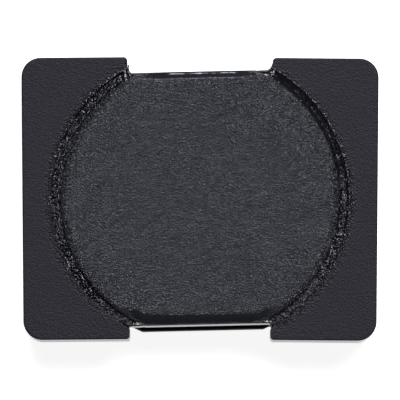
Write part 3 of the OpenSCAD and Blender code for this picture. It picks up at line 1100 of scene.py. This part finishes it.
def enamel(s):
    """Copper wire under a clear amber enamel."""
    material, tree, surface = shader("copper_enamel", s.color, 0.28, metallic=1.0,
                                     Coat_Weight=0.8, Coat_Roughness=0.08)
    streak = noise(tree, 2, 3.0, 0.6)
    vary(tree, streak, surface.inputs["Base Color"], [c * 0.75 for c in s.color], s.color)
    add_bump(tree, surface, [(streak, 0.01, 0.3)])
    return material


def moulding():
    """Black glass-filled moulding with faint flow marks."""
    material, tree, surface = shader("base_moulding", (0.017, 0.017, 0.019), 0.5,
                                     Specular_IOR_Level=0.45)
    fibre = noise(tree, 6, 4.0, 0.65)
    flow = noise(tree, 0.35, 2.0)
    vary(tree, flow, surface.inputs["Roughness"], 0.42, 0.6)
    add_bump(tree, surface, [(fibre, 0.008, 0.6)])
    return material


def tin(name, rough):
    """Matt tin with a fine crystalline grain and faint stains."""
    material, tree, surface = shader(name, (0.52, 0.515, 0.495), rough, metallic=1.0)
    crystal = noise(tree, 7, 3.0, 0.6)
    stain = noise(tree, 0.8, 4.0, 0.6)
    vary(tree, stain, surface.inputs["Base Color"], (0.43, 0.42, 0.40), (0.55, 0.545, 0.53))
    vary(tree, crystal, surface.inputs["Roughness"], rough - 0.08, rough + 0.1)
    add_bump(tree, surface, [(crystal, 0.006, 0.4)])
    return material


def dress(node, material):
    """Gives a CAD node a new material in its own slots."""
    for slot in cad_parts[node].material_slots:
        slot.material = material


# Operators


class INDUCTOR_OT_stage(bpy.types.Operator):
    """Camera over the part, white floor, and a soft sky that is bright overhead"""

    bl_idname = "inductor.stage"
    bl_label = "Stage"

    def execute(self, context):
        s = context.scene.inductor_stage
        add_camera(context.scene, s)
        add_floor(context.scene)
        add_sky(context.scene, s)
        add_lamp(context.scene)
        context.scene.view_settings.view_transform = "Standard"
        return {"FINISHED"}


# Where the camera aims, to the front of the middle, in mm
AIM_Y = -0.04
# Half the floor's side, in metres, and its glow to the camera, to gloss and through glass
FLOOR_REACH = 1.5
FLOOR_GLOW = 0.9
# The lamp: side in metres, power in watts, and place in metres
LAMP_SIDE = 0.47
LAMP_POWER = 13.5
LAMP_PLACE = (0.10, 0.38, 0.90)


def add_camera(scene, s):
    """Long lens over the middle of the part, leaning to the front by the tilt. Its focal length
    is the sensor's width times the distance over the view's width."""
    lens = bpy.data.cameras.new("camera")
    lens.sensor_width = 36
    lens.lens = lens.sensor_width * s.distance / (s.view_width * MM)
    lens.clip_start = 0.01
    lens.clip_end = 10
    camera = bpy.data.objects.new("camera", lens)
    target = np.array([0.0, AIM_Y * MM, HALF_HIGH[2] * MM])
    away = np.array([0.0, -math.sin(s.tilt), math.cos(s.tilt)])
    camera.location = target + away * s.distance
    camera.rotation_euler = (s.tilt, 0, 0)
    scene.collection.objects.link(camera)
    scene.camera = camera


def combine(tree, operation, first, second):
    """Output of a Math node on an output and a number or another output."""
    node = new_node(tree, "Math")
    node.operation = operation
    tree.links.new(first, node.inputs[0])
    if isinstance(second, float):
        node.inputs[1].default_value = second
    else:
        tree.links.new(second, node.inputs[1])
    return node.outputs[0]


def add_floor(scene):
    """White floor that keeps a soft shadow, and looks white to the camera and to gloss."""
    mesh = bpy.data.meshes.new("floor")
    corners = [(-FLOOR_REACH, -FLOOR_REACH, 0), (FLOOR_REACH, -FLOOR_REACH, 0),
               (FLOOR_REACH, FLOOR_REACH, 0), (-FLOOR_REACH, FLOOR_REACH, 0)]
    mesh.from_pydata(corners, [], [(0, 1, 2, 3)])
    material, tree, surface = shader("floor_white", (0.8, 0.8, 0.8), 0.9, Specular_IOR_Level=0.0,
                                     Emission_Color=(1, 1, 1, 1))
    path = new_node(tree, "LightPath").outputs
    seen = combine(tree, "MAXIMUM", path["Is Camera Ray"], path["Is Glossy Ray"])
    seen = combine(tree, "MAXIMUM", seen, path["Is Transmission Ray"])
    glow = combine(tree, "MULTIPLY", seen, FLOOR_GLOW)
    tree.links.new(glow, surface.inputs["Emission Strength"])
    mesh.materials.append(material)
    floor = bpy.data.objects.new("floor", mesh)
    scene.collection.objects.link(floor)


def add_sky(scene, s):
    """Sky that fades by a smooth step from bright overhead to dim at 30 degrees and below, and
    is white to the camera."""
    world = bpy.data.worlds.new("sky")
    scene.world = world
    world.use_nodes = True
    tree = world.node_tree
    place = new_node(tree, "TexCoord")
    split = new_node(tree, "SeparateXYZ")
    rise = new_node(tree, "MapRange", From_Min=0.5, From_Max=1.0, To_Min=s.horizon,
                    To_Max=s.overhead)
    rise.interpolation_type = "SMOOTHSTEP"
    path = new_node(tree, "LightPath")
    pick = new_node(tree, "Mix")
    pick.data_type = "FLOAT"
    pick.inputs["B"].default_value = 1.0
    tree.links.new(place.outputs["Generated"], split.inputs[0])
    tree.links.new(split.outputs["Z"], rise.inputs["Value"])
    tree.links.new(path.outputs["Is Camera Ray"], pick.inputs["Factor"])
    tree.links.new(rise.outputs["Result"], pick.inputs["A"])
    tree.links.new(pick.outputs["Result"], tree.nodes["Background"].inputs["Strength"])


def add_lamp(scene):
    """One broad soft lamp, high over the back right corner, turned to face the part."""
    light = bpy.data.lights.new("key", "AREA")
    light.size = LAMP_SIDE
    light.energy = LAMP_POWER
    lamp = bpy.data.objects.new("key", light)
    x, y, z = LAMP_PLACE
    lamp.location = LAMP_PLACE
    lamp.rotation_euler = (math.acos(z / math.hypot(x, y, z)), 0, math.atan2(y, x) + math.pi / 2)
    scene.collection.objects.link(lamp)


class INDUCTOR_OT_drum(bpy.types.Operator):
    """Draws the sealed drum core with its shoulder and grain"""

    bl_idname = "inductor.drum"
    bl_label = "Drum core"

    def execute(self, context):
        piece = build_drum(context.scene.inductor_drum)
        finish(piece, "core_ferrite", "drum_core")
        return {"FINISHED"}


class INDUCTOR_OT_shield(bpy.types.Operator):
    """Draws both sealed shield halves"""

    bl_idname = "inductor.shield"
    bl_label = "Shield halves"

    def execute(self, context):
        for side, node in ((1, "shield_right"), (-1, "shield_left")):
            piece = build_half(context.scene.inductor_shield, side)
            finish(piece, "shield_ferrite", node)
        return {"FINISHED"}


class INDUCTOR_OT_epoxy(bpy.types.Operator):
    """Draws the lumpy epoxy that fills the ring gap"""

    bl_idname = "inductor.epoxy"
    bl_label = "Epoxy ring"

    def execute(self, context):
        scene = context.scene
        for side, node in ((1, "epoxy_right"), (-1, "epoxy_left")):
            pieces = (scene.inductor_epoxy, scene.inductor_drum, scene.inductor_shield)
            finish(build_epoxy(*pieces, side), "black_epoxy", node)
            for end, fillet in CORNERS[side]:
                finish(build_corner(*pieces, side, end, fillet), "black_epoxy", node)
        for node in ("drum_bond", "shield_bond_left", "shield_bond_right"):
            dress(node, epoxy_material(scene.inductor_epoxy))
        return {"FINISHED"}


class INDUCTOR_OT_coil(bpy.types.Operator):
    """Draws the coil's wire as a helix with both lead-outs"""

    bl_idname = "inductor.coil"
    bl_label = "Coil"

    def execute(self, context):
        piece = build_coil(context.scene.inductor_coil, context.scene.inductor_drum)
        finish(piece, "enamelled_copper", "winding")
        return {"FINISHED"}


class INDUCTOR_OT_base(bpy.types.Operator):
    """Finishes the base, the terminals and the solder"""

    bl_idname = "inductor.base"
    bl_label = "Base and terminals"

    def execute(self, context):
        dress("base", moulding())
        plating = tin("tin_plating", 0.36)
        joint = tin("solder_metal", 0.24)
        for side in ("left", "right"):
            dress("terminal_" + side, plating)
            dress("solder_" + side, joint)
        return {"FINISHED"}


class INDUCTOR_PT_panel(bpy.types.Panel):
    """Lists the part's pieces"""

    bl_idname = "INDUCTOR_PT_panel"
    bl_label = "Inductor"
    bl_space_type = "VIEW_3D"
    bl_region_type = "UI"
    bl_category = "Inductor"

    def draw(self, context):
        for name, settings, operator in PIECES:
            box = self.layout.box()
            if settings:
                group = getattr(context.scene, settings)
                for key in group.bl_rna.properties.keys():
                    if key not in ("name", "rna_type"):
                        box.prop(group, key)
            box.operator(operator, text=name)


PIECES = (
    ("Stage", "inductor_stage", "inductor.stage"),
    ("Drum core", "inductor_drum", "inductor.drum"),
    ("Shield halves", "inductor_shield", "inductor.shield"),
    ("Epoxy ring", "inductor_epoxy", "inductor.epoxy"),
    ("Coil", "inductor_coil", "inductor.coil"),
    ("Base and terminals", None, "inductor.base"),
)
SETTINGS = {
    "inductor_drum": DrumSettings,
    "inductor_shield": ShieldSettings,
    "inductor_epoxy": EpoxySettings,
    "inductor_coil": CoilSettings,
    "inductor_stage": StageSettings,
}
CLASSES = (
    *SETTINGS.values(), INDUCTOR_OT_stage, INDUCTOR_OT_drum, INDUCTOR_OT_shield,
    INDUCTOR_OT_epoxy, INDUCTOR_OT_coil, INDUCTOR_OT_base, INDUCTOR_PT_panel,
)


def register():
    """Registers the classes and gives each scene its settings."""
    for cls in CLASSES:
        bpy.utils.register_class(cls)
    for name, group in SETTINGS.items():
        setattr(bpy.types.Scene, name, bpy.props.PointerProperty(type=group))


def unregister():
    """Takes the settings and the classes away again."""
    for name in SETTINGS:
        delattr(bpy.types.Scene, name)
    for cls in reversed(CLASSES):
        bpy.utils.unregister_class(cls)


def main():
    """Builds every piece and the stage."""
    register()
    for _, _, operator in PIECES:
        group, name = operator.split(".")
        getattr(getattr(bpy.ops, group), name)()


if __name__ == "__main__":
    main()
